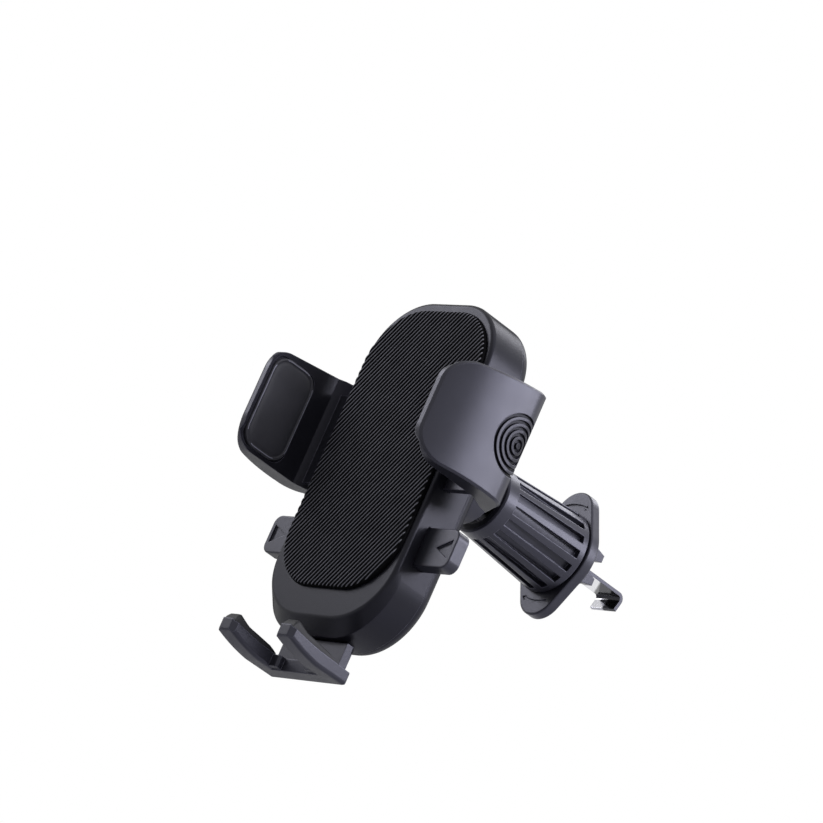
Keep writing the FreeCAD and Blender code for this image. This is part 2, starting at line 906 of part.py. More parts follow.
def arm_section(inset=0.0):
    """Right arm's section in (x, y); inset moves its outer surface inwards."""
    lip = -arm_lip_front
    start_x = arm_surface_x(lip) - inset
    corner_x = arm_surface_x(arm_corner_start) - inset
    middle_v = (lip + arm_corner_start) / 2
    r = arm_corner_radius - inset
    heel_x = corner_x - r
    diagonal = r * math.sqrt(0.5)
    return outline(
        at_z(arm_low_z - 1),
        (arm_lip_inner_x, grip(lip)),
        (start_x, grip(lip)),
        ((arm_surface_x(middle_v) - inset, grip(middle_v)), (corner_x, grip(arm_corner_start))),
        (
            (heel_x + diagonal, grip(arm_corner_start + diagonal)),
            (heel_x, grip(arm_corner_start + r)),
        ),
        (arm_leg_tip_x, grip(arm_leg_tip_back)),
        (arm_leg_tip_x + arm_leg_tip_slant, grip(arm_leg_tip_front)),
        (arm_inner_x, grip(arm_leg_root)),
        (arm_inner_x, grip(lip + arm_lip_depth)),
        (arm_lip_inner_x + arm_lip_chamfer[0], grip(lip + arm_lip_chamfer[1])),
    )


def arm_block(inset=0.0):
    height = arm_back_top_z - arm_low_z + 2
    return Part.Face(arm_section(inset)).extrude(V(0, 0, height))


def arm_side_view():
    """Mask in (y, z): rounded front corners and a top that rises towards the back."""
    front = grip(-arm_lip_front)
    back = grip(arm_leg_tip_back + 1)
    shoulder = grip(arm_shoulder)
    wire = rounded_outline(
        at_x(arm_leg_tip_x - 2),
        [
            (front, arm_low_z, arm_front_corner),
            (back, arm_low_z, 0.0),
            (back, arm_back_top_z, 0.0),
            (shoulder, arm_back_top_z, 0.0),
            (front, arm_front_top_z, arm_front_corner),
        ],
        0.0,
    )
    return Part.Face(wire).extrude(V(arm_outer_x - arm_leg_tip_x + 4, 0, 0))


def arm_pad_block(x0, x1):
    corners = rectangle(
        grip(-arm_pad_front), grip(arm_pad_back), -arm_pad_half_height, arm_pad_half_height
    )
    wire = rounded_outline(at_x(x0), corners, arm_pad_corner)
    return Part.Face(wire).extrude(V(x1 - x0, 0, 0))


def ripple_grooves():
    """Concentric grooves about the rear outer corner, as deep as the ripple everywhere."""
    skin = arm_block().cut(arm_block(ripple_depth))
    turn = math.radians(ripple_turn)
    heel_x = arm_surface_x(arm_corner_start) - arm_corner_radius
    reach = arm_corner_radius * 2
    direction = V(math.cos(turn), math.sin(turn), 0)
    start = V(heel_x, grip(arm_corner_start), ripple_z)
    grooves = []
    for index in range(ripple_rings):
        outer = ripple_pitch * (index + 1)
        inner = outer - ripple_pitch * ripple_groove_share
        tube = Part.makeCylinder(outer, reach, start, direction)
        tube = tube.cut(Part.makeCylinder(inner, reach, start, direction))
        grooves.append(skin.common(tube))
    return grooves


def outer_rim(shell):
    """Edges round the arm's outer surface, apart from the one at the rear corner."""
    found = []
    for edge in shell.Edges:
        middle = edge.valueAt((edge.FirstParameter + edge.LastParameter) / 2)
        v = middle.y - grip_y
        if v < arm_corner_start and abs(middle.x - arm_surface_x(v)) < 0.01:
            found.append(edge)
    return found


def arm_shell():
    shell = arm_block().common(arm_side_view())
    shell = shell.makeChamfer(arm_edge_chamfer, outer_rim(shell))
    shell = shell.cut(ripple_grooves())
    return shell.cut(arm_pad_block(arm_inner_x - 1, arm_inner_x + arm_pad_recess))


def fork(y0, y1):
    """Right-hand slide bar: a plate whose inner end is slotted for the pinion, its rack on top."""
    half = bar_half_height
    plate = box(fork_tip_x, arm_inner_x + rack_overlap, y0, y1, -half, half)
    slot = box(fork_tip_x - 1, fork_root_x, y0 - 1, y1 + 1, fork_tongue - half, rack_root_z)
    plate = plate.cut(slot)
    half_pitch_width = (rack_pitch - gear_backlash) / 4
    slope = math.tan(math.radians(gear_pressure_angle))
    half_tip = half_pitch_width - gear_addendum * slope
    half_root = half_pitch_width + gear_dedendum * slope
    tip_z = gear_pitch_radius - gear_addendum
    teeth = []
    for index in range(rack_first, rack_last + 1):
        x = index * rack_pitch
        wire = outline(
            at_y(y0),
            (x - half_tip, tip_z),
            (x + half_tip, tip_z),
            (x + half_root, rack_root_z),
            (x + half_root, rack_root_z + rack_overlap),
            (x - half_root, rack_root_z + rack_overlap),
            (x - half_root, rack_root_z),
        )
        teeth.append(fill_y(wire, y1 - y0))
    return joined(plate, *teeth)


def ratchet_notches(y0, y1):
    """Saw-tooth notches along the lower edge of the right bar."""
    notches = []
    first = fork_tip_x + rib_root
    last = lock_neck_half_width + arm_close_travel
    count = int((last - first) / ratchet_pitch)
    for index in range(count):
        x = first + index * ratchet_pitch
        wire = outline(
            at_y(y0 - 0.5),
            (x, -bar_half_height - ratchet_cut),
            (x + ratchet_pitch * ratchet_tooth, -bar_half_height - ratchet_cut),
            (x + ratchet_pitch * ratchet_tooth, -bar_half_height + ratchet_depth),
        )
        notches.append(fill_y(wire, y1 - y0 + 1))
    return notches


def right_arm():
    bar_end_y = front_bar_y + bar_thick
    bar = fork(front_bar_y, bar_end_y).cut(ratchet_notches(front_bar_y, bar_end_y))
    return joined(arm_shell(), bar)


def left_arm():
    bar = fork(back_bar_y, bars_end_y)
    bar.rotate(V(0, 0, 0), V(0, 1, 0), 180)
    return joined(mirrored(arm_shell()), bar)


def right_arm_pad():
    return arm_pad_block(grip_half_width, arm_inner_x + arm_pad_recess)


def left_arm_pad():
    return mirrored(right_arm_pad())


# Pinion, its pin and its spring
def pinion():
    alpha = math.radians(gear_pressure_angle)
    base = gear_pitch_radius * math.cos(alpha)
    root = gear_pitch_radius - gear_dedendum
    tooth = (rack_pitch - gear_backlash) / 2
    flat = tooth / (2 * gear_pitch_radius) + math.tan(alpha) - alpha
    steps = 5
    pitch_angle = 2 * math.pi / gear_teeth
    y0 = front_bar_y + gear_side_gap
    y1 = bars_end_y - gear_side_gap

    def half_angle(radius):
        press = math.acos(base / radius)
        return flat - (math.tan(press) - press)

    def at(radius, angle):
        return V(radius * math.sin(angle), y0, radius * math.cos(angle))

    edges = []
    for index in range(gear_teeth):
        middle = (index + 0.5) * pitch_angle
        radii = [base + (gear_tip_radius - base) * k / steps for k in range(steps + 1)]
        rising = [at(r, middle - half_angle(r)) for r in radii]
        falling = [at(r, middle + half_angle(r)) for r in reversed(radii)]
        foot_angle = half_angle(base)
        edges.append(Part.makeLine(at(root, middle - foot_angle), rising[0]))
        up = Part.BSplineCurve()
        up.interpolate(rising)
        edges.append(up.toShape())
        edges.append(Part.Arc(rising[-1], at(gear_tip_radius, middle), falling[0]).toShape())
        down = Part.BSplineCurve()
        down.interpolate(falling)
        edges.append(down.toShape())
        edges.append(Part.makeLine(falling[-1], at(root, middle + foot_angle)))
        gap_middle = middle + pitch_angle / 2
        edges.append(Part.Arc(
            at(root, middle + foot_angle), at(root, gap_middle), at(root, middle + pitch_angle - foot_angle)
        ).toShape())
    wheel = fill_y(Part.Wire(edges), y1 - y0)
    hub = rod(hub_radius, y1, bars_end_y + spiral_width + run_gap)
    bore = rod(pin_radius + run_gap / 2, y0 - 1, bars_end_y + spiral_width + 2)
    return joined(wheel, hub).cut(bore)


def pinion_pin():
    end = cavity_back_y - collar_flange - fit_gap
    return rod(pin_radius, cavity_front_y - pinion_pin_seat + fit_gap, end)


def arm_spring():
    """Flat spiral from the pinion's hub to the post on the rear cover."""
    y0 = bars_end_y + 2 * run_gap
    points_per_turn = 12
    count = int(spiral_turns * points_per_turn)

    def curve(offset):
        points = []
        for index in range(count + 1):
            share = index / count
            radius = spiral_inner + (spiral_outer - spiral_inner) * share + offset
            angle = 2 * math.pi * (spiral_turns * (share - 1))
            points.append(V(radius * math.cos(angle), y0, radius * math.sin(angle)))
        line = Part.BSplineCurve()
        line.interpolate(points)
        return line.toShape(), points[0], points[-1]

    inner, inner_start, inner_end = curve(0)
    outer, outer_start, outer_end = curve(spiral_sheet)
    tail = Part.makeLine(inner_end, outer_end)
    head = Part.makeLine(outer_start, inner_start)
    wire = Part.Wire([inner, tail, outer, head])
    return fill_y(wire, spiral_width - 2 * run_gap)


# Release buttons and lock
def release_button_right():
    outer = rounded_outline(
        at_y(button_front_y),
        [
            (inner_half_width - run_gap, button_low_z, 0.0),
            (button_reach, button_low_z, button_corner),
            (button_reach, button_high_z, button_corner),
            (inner_half_width - run_gap, button_high_z, 0.0),
        ],
        0.0,
    )
    block = fill_y(outer, button_depth)
    rim = [edge for edge in edges_in_plane_y(block, button_front_y) if edge.BoundBox.XMax > cradle_half_width]
    block = block.makeFillet(button_edge_round, rim)
    flange_x = inner_half_width - run_gap - button_flange
    flange = box(
        flange_x, inner_half_width - run_gap, button_front_y, button_back_y,
        button_low_z - button_flange_rise, button_high_z + button_flange_rise,
    )
    half = button_tongue_half_height
    tongue_y = lock_back_y + 2 * run_gap
    tongue = box(
        button_tongue_inner_x, flange_x, tongue_y, button_back_y, button_mid_z - half, button_mid_z + half
    )
    pin = rod(button_pin_radius, lock_front_y + run_gap, tongue_y, button_pin_x, button_mid_z)
    tip_x = button_reach - triangle_inset - triangle_reach
    base_x = tip_x + triangle_reach
    mark = outline(
        at_y(button_front_y - 1),
        (tip_x, button_mid_z),
        (base_x, button_mid_z + triangle_half_height),
        (base_x, button_mid_z - triangle_half_height),
    )
    return joined(block, flange, tongue, pin).cut(fill_y(mark, 1 + triangle_depth))


def release_button_left():
    return mirrored(release_button_right())


def cam_slot():
    """Slanted slot that the right button's pin runs along as the plate drops."""
    y0 = lock_front_y - 1
    y1 = lock_back_y + 1
    reach = math.hypot(button_travel, lock_drop)
    rise = math.degrees(math.atan2(lock_drop, button_travel))
    slot = joined(
        rod(cam_slot_radius, y0, y1),
        rod(cam_slot_radius, y0, y1, -reach),
        box(-reach, 0, y0, y1, -cam_slot_radius, cam_slot_radius),
    )
    slot.rotate(V(0, 0, 0), V(0, 1, 0), rise)
    slot.translate(V(button_pin_x, 0, button_mid_z))
    return slot


def lock_plate():
    plate = box(-lock_half_width, lock_half_width, lock_front_y, lock_back_y, lock_low_z, lock_shoulder_z)
    pawl_top = -bar_half_height - pawl_clearance
    half = lock_neck_half_width
    neck = box(-half, half, lock_front_y, lock_back_y, lock_shoulder_z - 1, pawl_top - ratchet_depth)
    teeth = []
    count = int(2 * half / ratchet_pitch)
    for index in range(count):
        x = -half + index * ratchet_pitch
        wire = outline(
            at_y(lock_front_y),
            (x, pawl_top - ratchet_depth - pawl_root),
            (x + ratchet_pitch * ratchet_tooth, pawl_top - ratchet_depth - pawl_root),
            (x + ratchet_pitch * ratchet_tooth, pawl_top),
            (x, pawl_top - ratchet_depth),
        )
        teeth.append(fill_y(wire, lock_plate_thick))
    window_low = lock_low_z + lock_window_low
    window_half = lock_window_half_width
    window = box(
        -window_half, window_half, lock_front_y - 1, lock_back_y + 1,
        window_low, window_low + lock_window_height,
    )
    return joined(plate, neck, *teeth).cut([window, cam_slot(), mirrored(cam_slot())])


def lock_spring():
    low = lock_low_z + lock_window_low + stop_slack + lock_peg_height + coil_wire + fit_gap
    high = lock_low_z + lock_window_low + lock_window_height - coil_wire - fit_gap
    middle_y = (lock_front_y + lock_back_y) / 2
    height = high - low
    helix = Part.makeHelix(height / coil_turns, height, coil_radius)
    helix.translate(V(0, middle_y, low))
    start = Part.makeCircle(coil_wire, V(coil_radius, middle_y, low), V(0, 1, 0))
    return Part.Wire(helix.Edges).makePipeShell([Part.Wire([start])], True, True)


# Foot
def foot_point(offset):
    """Point given as its distance behind the grip's front plane and its drop below the grip space."""
    return (grip(offset[0]), grip_bottom_z - offset[1])


def prong_top_steps():
    return (
        foot_point((prong_tip_step - prong_tip, prong_tip_top + prong_tip_step)),
        (foot_point(prong_slope_mid), foot_point(prong_slope_end)),
        foot_point((foot_back, prong_back_drop)),
    )


def prong():
    tip = -prong_tip
    low = prong_under_end[1]
    c = prong_tip_chamfer
    e = prong_end_chamfer
    front = grip(tip)
    back = grip(foot_back)
    steps = prong_top_steps() + (
        foot_point((foot_back, low - e)),
        foot_point((foot_back - e, low)),
        foot_point((prong_under_end[0], low)),
        (foot_point(prong_under_mid), foot_point((tip + prong_tip_step, prong_tip_height + prong_tip_step))),
        foot_point((tip, prong_tip_height)),
        foot_point((tip, prong_tip_top)),
    )
    mask = outline(
        at_z(grip_bottom_z - 2 * low),
        (prong_inner_x, front + c),
        (prong_inner_x + c, front),
        (prong_outer_x - c, front),
        (prong_outer_x, front + c),
        (prong_outer_x, back - e),
        (prong_outer_x - e, back),
        (prong_inner_x, back),
    )
    block = side_slab(steps, prong_inner_x - 1, prong_outer_x + 1)
    block = block.common(Part.Face(mask).extrude(V(0, 0, 3 * low)))
    lower = []
    for edge in block.Edges:
        bounds = edge.BoundBox
        sides = (prong_inner_x, prong_outer_x)
        off_side = min(abs(bounds.XMin - x) + abs(bounds.XMax - x) for x in sides)
        below_tip = bounds.ZMax < grip_bottom_z - prong_tip_height
        if off_side < 1e-4 and below_tip and bounds.YLength > prong_tip_chamfer:
            lower.append(edge)
    return block.makeFillet(prong_edge_round, lower)


def foot_web():
    """Web between the prongs, the shoulder under the cradle and the bridge back to the stem."""
    low = prong_under_end[1]
    e = prong_end_chamfer
    half = prong_inner_x + web_overlap
    web = side_slab(
        (
            foot_point((web_front, low)),
            foot_point((foot_back - e, low)),
            foot_point((foot_back, low - e)),
            foot_point((foot_back, prong_back_drop)),
            foot_point((web_front, prong_back_drop)),
        ),
        -half,
        half,
    )
    web_top = grip_bottom_z - prong_back_drop
    half = shoulder_half_width
    front = grip(shoulder_front)
    shoulder = box(-half, half, front, front + shoulder_thick, web_top - 1, cradle_bottom_z - shoulder_gap)
    half = stem_half_width
    stem = box(-half, half, stem_front_y, stem_back_y, web_top - 1, stem_top_z)
    bridge = side_slab(
        (
            foot_point((foot_back - 1, bridge_low_drop)),
            foot_point((foot_back, bridge_low_drop)),
            (stem_back_y, grip_bottom_z - bridge_high_drop),
            (stem_back_y, grip_bottom_z),
            foot_point((foot_back - 1, 0)),
        ),
        -half,
        half,
    )
    tail = box(-half - 1, half + 1, stem_front_y - 1, stem_back_y + 1, web_top - 2, grip_bottom_z)
    return joined(web, shoulder, bridge, stem.cut(tail.cut(bridge)))


def cable_tab():
    """Upright bead in the corner between the prong and the web."""
    x0 = prong_inner_x - tab_reach
    y0 = grip(web_front - tab_depth)
    wire = rounded_outline(
        at_z(grip_bottom_z - tab_low_drop),
        [
            (x0, y0, tab_corner),
            (prong_inner_x + 1, y0, 0.0),
            (prong_inner_x + 1, grip(web_front + 1), 0.0),
            (x0, grip(web_front + 1), 0.0),
        ],
        0.0,
    )
    return Part.Face(wire).extrude(V(0, 0, tab_low_drop - tab_drop))


def foot():
    body = joined(prong(), mirrored(prong()), foot_web(), cable_tab(), mirrored(cable_tab()))
    half = stop_slot_half_width
    slot_low = stop_peg_low_z - stop_slack
    slot_high = stop_peg_low_z + stop_peg_height + foot_travel + stop_slack
    cuts = [box(-half, half, stem_front_y - 1, stem_back_y + 1, slot_low, slot_high)]
    for index in range(2):
        z = notch_z + index * notch_pitch
        x0 = leaf_centre_x - leaf_half_width - notch_margin
        x1 = leaf_centre_x + leaf_half_width + notch_margin
        mouth = stem_back_y + notch_depth * (notch_half - notch_waist) / notch_waist
        wire = (
            (mouth, z - notch_half),
            (mouth, z + notch_half),
            (stem_back_y - notch_depth, z),
        )
        cuts.append(side_slab(wire, x0, x1))
    return body.cut(cuts)


def foot_pad_right():
    heel_v, heel_drop = foot_pad_end
    share = (heel_v - prong_slope_end[0]) / (foot_back - prong_slope_end[0])
    seat_drop = prong_slope_end[1] + (prong_back_drop - prong_slope_end[1]) * share
    steps = (
        prong_top_steps()[0],
        prong_top_steps()[1],
        foot_point((heel_v, seat_drop)),
        foot_point(foot_pad_end),
        foot_point(foot_pad_heel),
        foot_point(foot_pad_seat),
        foot_point(foot_pad_ramp),
        foot_point((foot_pad_tip_back - prong_tip, -foot_pad_tip_rise)),
    )
    return side_slab(steps, prong_inner_x + foot_pad_inset, prong_outer_x - foot_pad_inset)


def foot_pad_left():
    return mirrored(foot_pad_right())


def detent_spring():
    """Bowed leaf between the rear cover and the stem, just clear of the stem."""
    top = stem_back_y + run_gap
    wall = cavity_back_y
    z = notch_z
    half = leaf_half_length
    t = leaf_sheet
    steps = (
        (wall, z - half),
        (top + leaf_rise, z - half),
        (top, z - leaf_flat),
        (top, z + leaf_flat),
        (top + leaf_rise, z + half),
        (wall, z + half),
        (wall, z + half - t),
        (top + leaf_rise + t, z + half - t),
        (top + t, z + leaf_flat - t / 3),
        (top + t, z + t / 3 - leaf_flat),
        (top + leaf_rise + t, z - half + t),
        (wall, z - half + t),
    )
    return side_slab(steps, leaf_centre_x - leaf_half_width, leaf_centre_x + leaf_half_width)


pieces = {
    "base_plate": base_plate,
    "thrust_washer": thrust_washer,
    "retaining_ring": retaining_ring,
    "ball_stud": ball_stud,
    "knob": knob,
    "knob_bush": knob_bush,
    "hook": hook,
    "hook_carrier": hook_carrier,
    "ball_liner": ball_liner,
    "seat_cup": seat_cup,
    "spring_washer": spring_washer,
    "socket_cap": socket_cap,
    "socket_collar": socket_collar,
    "front_cover": front_cover,
    "front_pad": front_pad,
    "rear_cover": rear_cover,
    "right_arm": right_arm,
    "left_arm": left_arm,
    "right_arm_pad": right_arm_pad,
    "left_arm_pad": left_arm_pad,
    "pinion": pinion,
    "pinion_pin": pinion_pin,
    "arm_spring": arm_spring,
    "release_button_right": release_button_right,
    "release_button_left": release_button_left,
    "lock_plate": lock_plate,
    "lock_spring": lock_spring,
    "foot": foot,
    "foot_pad_right": foot_pad_right,
    "foot_pad_left": foot_pad_left,
    "detent_spring": detent_spring,
}

os.makedirs("parts", exist_ok=True)
for name, make in pieces.items():
    make().exportStep("parts/" + name + ".step")
for index in range(len(screws)):
    cover_screw(index).exportStep("parts/cover_screw_" + str(index + 1) + ".step")
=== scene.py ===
import bpy
import json
import math
from mathutils import Matrix, Vector


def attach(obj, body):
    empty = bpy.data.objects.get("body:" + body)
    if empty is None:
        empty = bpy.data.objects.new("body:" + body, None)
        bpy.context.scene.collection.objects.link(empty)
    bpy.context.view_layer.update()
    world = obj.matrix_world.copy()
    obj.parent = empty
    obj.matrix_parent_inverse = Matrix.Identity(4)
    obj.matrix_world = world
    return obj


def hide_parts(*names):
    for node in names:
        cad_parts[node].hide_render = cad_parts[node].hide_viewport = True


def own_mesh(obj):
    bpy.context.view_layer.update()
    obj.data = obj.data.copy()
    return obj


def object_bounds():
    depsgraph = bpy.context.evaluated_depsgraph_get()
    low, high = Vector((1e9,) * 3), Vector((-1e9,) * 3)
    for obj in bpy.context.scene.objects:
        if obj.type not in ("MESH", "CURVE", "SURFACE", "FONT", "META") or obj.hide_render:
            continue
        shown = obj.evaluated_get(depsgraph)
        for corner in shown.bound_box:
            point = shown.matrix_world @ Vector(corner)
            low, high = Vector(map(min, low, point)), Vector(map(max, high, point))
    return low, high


# Device holder with an air-vent hook, dressed for a studio picture. Metres, in the part's own frame.
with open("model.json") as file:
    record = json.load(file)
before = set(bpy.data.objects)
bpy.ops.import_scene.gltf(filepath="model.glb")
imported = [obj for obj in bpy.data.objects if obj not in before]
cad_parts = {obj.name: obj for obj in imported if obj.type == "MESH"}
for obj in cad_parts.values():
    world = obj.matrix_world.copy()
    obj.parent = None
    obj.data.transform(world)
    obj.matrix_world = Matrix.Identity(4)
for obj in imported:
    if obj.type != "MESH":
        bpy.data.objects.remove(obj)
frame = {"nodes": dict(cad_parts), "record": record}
cad_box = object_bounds()
nodes = frame["nodes"]
mm = 0.001

# Camera, at the photograph's angle: from the right, from below and rolled
camera_place = Vector((1.11423, -0.93031, -0.41665))
camera_right = Vector((0.65112, 0.65248, 0.38771))
camera_back = Vector((0.75802, -0.58473, -0.28896))
camera_lens = 243.6
camera_sensor = 36.0
camera_near = 0.01
camera_far = 20.0

# Stage
floor_drop = 0.06
floor_radius = 0.6
floor_corners = 96
fade_start = 0.12
fade_end = 0.42
floor_colour = (0.90, 0.90, 0.91)
floor_bounce = (0.16, 0.16, 0.18)
floor_roughness = 0.9
white = (1.0, 1.0, 1.0)
lamp_colour = (0.91, 0.91, 1.0)
world_light = (0.80, 0.80, 0.86)
world_strength = 0.17

# Colours, linear
shell_colour = (0.027, 0.027, 0.035)
# Cradle plastic, darker than the shell: painted shade where the held device would shadow the cradle
cradle_shade_colour = (0.012, 0.012, 0.016)
inner_colour = (0.020, 0.020, 0.023)
rubber_colour = (0.012, 0.012, 0.014)
arm_pad_colour = (0.06, 0.06, 0.07)
# Light rim of the arm pads: a painted highlight along the rim
arm_rim_highlight = (0.40, 0.40, 0.48)
# Grey painted highlight along the ribbed pad's crests
crest_highlight_colour = (0.38, 0.38, 0.41)
# Near-black painted shade for the thumb grip's grooves and the ribbed pad's valleys
groove_shade_colour = (0.0015, 0.0015, 0.002)
chrome_colour = (0.70, 0.70, 0.73)
# Dark plating colour on the hook towards the bend: a painted dark reflection
chrome_reflection_dark = (0.03, 0.03, 0.034)
chrome_edge = (0.05, 0.05, 0.06)
steel_colour = (0.52, 0.52, 0.54)
plastic_sheen = (0.85, 0.85, 1.0)

# Shares that the materials use: where soft noise turns from dark to light, how strongly edges are
# painted lighter, as rubbing and a painted highlight, and how much gloss is left where the surface is
# seen flat along
cloud_low = 0.3
cloud_high = 0.7
rubbed_highlight_strength = 0.8
rubbed_highlight_low = 3.5
rubbed_highlight_high = 7.0
grazing_gloss = 0.02
outline_gloss = 1.2
bevel_samples = 6

# The hook's painted dark reflection: where it starts along the strip, how that slants, and its bent leg
dark_reflection_start = 11.6 * mm
dark_reflection_width = 0.8 * mm
dark_reflection_slant = 0.78
dark_reflection_drift = 0.25 * mm
dark_reflection_leg_level = -1.9 * mm
dark_reflection_leg_share = 0.34
dark_reflection_leg_start = -0.3 * mm
dark_reflection_leg_end = 0.5 * mm
edge_roughness = 0.3

# The front pad: its outline in (x, z), and the ridges that cross it
pad_half_width = 23.25 * mm
pad_low = -45.95 * mm
pad_high = 36.55 * mm
pad_corner = 16.45 * mm
pad_face = -74.5 * mm
pad_back = -72.5 * mm
pad_edge = 0.7 * mm
ridge_pitch = 1.25 * mm
ridge_angle = math.radians(54.7)
ridge_height = 0.34 * mm
ridge_sharpness = 1.5
ridge_samples = 8
ridge_reach = 60 * mm
shortest_chord = 3.0 * mm
chord_search = 80
chord_halvings = 40
end_stations = (0.0, 0.12, 0.3, 0.55, 0.9, 1.4)
middle_stations = (0.25, 0.5, 0.75)

# The pads inside the arms: their outline in (y, z), and their section as (inset, sink) in mm
arm_pad_front = -91.65 * mm
arm_pad_rear = -75.95 * mm
arm_pad_half_height = 13.35 * mm
arm_pad_corner = 5.2 * mm
arm_pad_face = 35.78 * mm
arm_rim_width = 0.8 * mm
arm_rim_sink = 0.1 * mm
smallest_corner = 0.3 * mm
corner_steps = 9
cushion_section = (
    (0.0, 1.24), (0.0, 0.5), (0.12, 0.22), (0.35, 0.08), (0.62, 0.08), (0.85, 0.3), (1.1, 0.36),
    (1.4, 0.2), (1.9, 0.1), (3.0, 0.04), (4.6, 0.0),
)

# The rings of the thumb grip, on an axis (out, back, up) turned towards the back, and the painted shade
# in them
ring_place = (37.2 * mm, -69.3 * mm, 1.2 * mm)
ring_turn = math.radians(10.0)
ring_pitch = 1.7 * mm
ring_reach = 8.6 * mm
ring_shade = 0.75
ring_shade_outside = 0.1
ring_shade_groove = 0.8
groove_start = 0.34
groove_end = 0.5
ring_gloss = 0.1

# The strips on the prongs: stations (y, underside z, top z), and the section as shares (across, up)
strip_stations = (
    (-88.55, -64.10, -63.60),
    (-88.20, -64.20, -62.60),
    (-87.55, -64.35, -61.75),
    (-87.00, -64.45, -61.60),
    (-86.00, -64.70, -62.02),
    (-84.60, -64.95, -62.60),
    (-83.20, -65.12, -63.08),
    (-82.00, -65.22, -63.24),
    (-79.50, -65.42, -63.50),
    (-77.00, -65.58, -63.80),
    (-74.60, -65.70, -64.10),
    (-73.00, -65.76, -64.62),
    (-72.20, -65.78, -65.00),
    (-71.95, -65.78, -65.30),
)
strip_section = (
    (-1.0, 0.0), (-1.0, 0.55), (-0.97, 0.78), (-0.88, 0.92), (-0.7, 0.985), (-0.35, 1.0), (0.0, 1.0),
    (0.35, 1.0), (0.7, 0.985), (0.88, 0.92), (0.97, 0.78), (1.0, 0.55), (1.0, 0.0), (0.0, 0.0),
)
strip_inner = 9.42
strip_outer = 14.38

# The coil spring under the lock plate, at one length; the real one shortens as the plate goes down
coil_middle_y = -68.1 * mm
coil_low = -44.48 * mm
coil_high = -36.32 * mm
coil_radius = 1.4 * mm
coil_wire = 0.3 * mm
coil_turns = 5
coil_steps = 24
coil_sides = 10


# Node helpers
def new_material(name):
    material = bpy.data.materials.new(name)
    material.use_nodes = True
    tree = material.node_tree
    shader = tree.nodes["Principled BSDF"]
    return material, tree, shader


def add_node(tree, kind, **values):
    node = tree.nodes.new(kind)
    for name, value in values.items():
        setattr(node, name, value)
    return node


def calculate(tree, operation, *inputs):
    """Math node over numbers and sockets."""
    node = add_node(tree, "ShaderNodeMath", operation=operation)
    for index, value in enumerate(inputs):
        if isinstance(value, (int, float)):
            node.inputs[index].default_value = value
        else:
            tree.links.new(value, node.inputs[index])
    return node.outputs[0]


def place_of(tree):
    return add_node(tree, "ShaderNodeTexCoord").outputs["Object"]


def parts_of(tree, vector):
    parts = add_node(tree, "ShaderNodeSeparateXYZ")
    tree.links.new(vector, parts.inputs["Vector"])
    return parts.outputs


def noise(tree, scale, detail=2.0):
    node = add_node(tree, "ShaderNodeTexNoise")
    node.inputs["Scale"].default_value = scale
    node.inputs["Detail"].default_value = detail
    tree.links.new(place_of(tree), node.inputs["Vector"])
    return node.outputs["Fac"]


def remap(tree, value, low, high, start=0.0, end=1.0):
    """The value's stretch from start to end, laid from low to high and held beyond them."""
    node = add_node(tree, "ShaderNodeMapRange")
    node.inputs["From Min"].default_value = start
    node.inputs["From Max"].default_value = end
    node.inputs["To Min"].default_value = low
    node.inputs["To Max"].default_value = high
    tree.links.new(value, node.inputs["Value"])
    return node.outputs["Result"]


def ramp_of(tree, value, stops):
    """Colour ramp from (position, colour) stops."""
    ramp = add_node(tree, "ShaderNodeValToRGB")
    elements = ramp.color_ramp.elements
    while len(elements) < len(stops):
        elements.new(1.0)
    for element, (position, colour) in zip(elements, stops):
        element.position = position
        element.color = tuple(colour) + (1.0,)
    tree.links.new(value, ramp.inputs["Fac"])
    return ramp.outputs["Color"]


def mix_colours(tree, share, first, second):
    """The first colour socket, turning into the second, a socket or a plain colour."""
    mix = add_node(tree, "ShaderNodeMix", data_type="RGBA")
    tree.links.new(share, mix.inputs["Factor"])
    tree.links.new(first, mix.inputs["A"])
    if isinstance(second, tuple):
        mix.inputs["B"].default_value = second + (1.0,)
    else:
        tree.links.new(second, mix.inputs["B"])
    return mix.outputs["Result"]


def shade(colour, factor):
    return tuple(channel * factor for channel in colour)


def clouds(tree, value, darker, lighter):
    """Colour that wanders between two with the value."""
    return ramp_of(tree, value, ((cloud_low, darker), (cloud_high, lighter)))


def tint(tree, shader, colour, value, spread):
    """Base colour that wanders by the spread with the value."""
    colours = clouds(tree, value, shade(colour, 1 - spread), shade(colour, 1 + spread))
    tree.links.new(colours, shader.inputs["Base Color"])


def roughen(tree, shader, value, low, high):
    """Roughness that wanders from low to high with the value."""
    tree.links.new(remap(tree, value, low, high), shader.inputs["Roughness"])


def grain(tree, shader, height, depth, edge_radius):
    """Bump from a height over edges softened by a small bevel. Gives the bevelled normal."""
    bevel = add_node(tree, "ShaderNodeBevel", samples=bevel_samples)
    bevel.inputs["Radius"].default_value = edge_radius
    bump = add_node(tree, "ShaderNodeBump")
    bump.inputs["Strength"].default_value = 1.0
    bump.inputs["Distance"].default_value = depth
    tree.links.new(height, bump.inputs["Height"])
    tree.links.new(bevel.outputs["Normal"], bump.inputs["Normal"])
    tree.links.new(bump.outputs["Normal"], shader.inputs["Normal"])
    return bevel.outputs["Normal"]


def edge_rub_and_highlight(tree, normal):
    """1 on edges and 0 on flats: how far the bevelled normal leans from the true one."""
    geometry = add_node(tree, "ShaderNodeNewGeometry")
    dot = add_node(tree, "ShaderNodeVectorMath", operation="DOT_PRODUCT")
    tree.links.new(normal, dot.inputs[0])
    tree.links.new(geometry.outputs["Normal"], dot.inputs[1])
    return remap(tree, dot.outputs["Value"], low=1.0, high=0.0, start=0.86, end=0.995)


